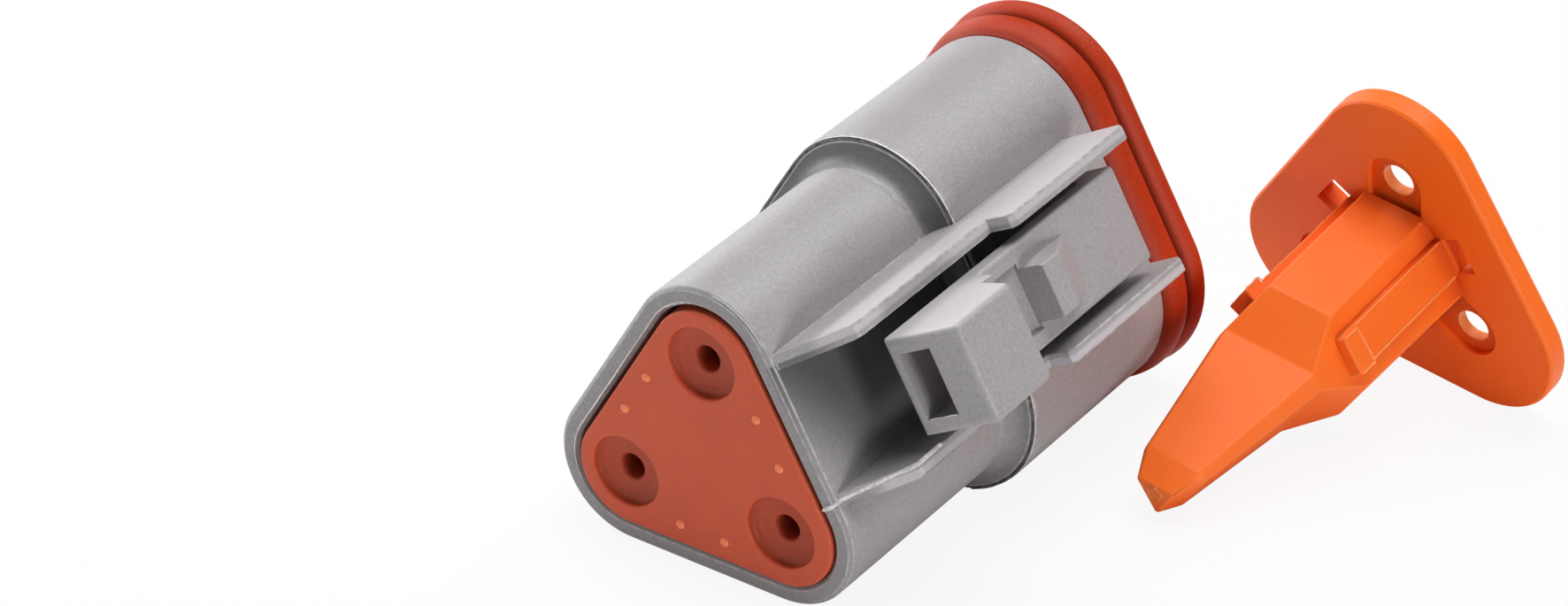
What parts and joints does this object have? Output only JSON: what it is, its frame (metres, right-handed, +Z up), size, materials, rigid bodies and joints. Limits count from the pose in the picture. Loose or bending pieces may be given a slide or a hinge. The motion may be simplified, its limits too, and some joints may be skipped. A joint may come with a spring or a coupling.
{
  "type": "sealed wire-to-wire connector plug",
  "caption": "Grey sealed connector plug of rounded triangle section with a spring latch, orange silicone seals and its loose orange wedge lock.",
  "frame": {"origin": "the plug's axis at the rim of its wire end", "axes": "+Y along the plug's axis towards the mating face, +Z up through the upper lobe, the latch on the flat that faces +X and up at 30 degrees"},
  "size_m": [0.046, 0.0502, 0.0249],
  "materials": {
    "grey_plastic": "satin moulded plastic with a fine spark-eroded grain",
    "orange_silicone": "satin silicone rubber",
    "orange_plastic": "satin moulded plastic"
  },
  "bodies": {
    "plug": {"housing": "grey_plastic", "front_seal": "orange_silicone", "wire_grommet": "orange_silicone", "wedge_lock": "orange_plastic"},
    "latch": {"latch_lever": "grey_plastic"}
  },
  "joints": [
    {"name": "latch_flex", "type": "hinge", "parent": "plug", "child": "latch", "pos_m": [0.00935, 0.02625, 0.0054], "axis": [0.5, 0, -0.866], "range_deg": [0, 8], "stiffness_Nm_per_rad": 2}
  ]
}
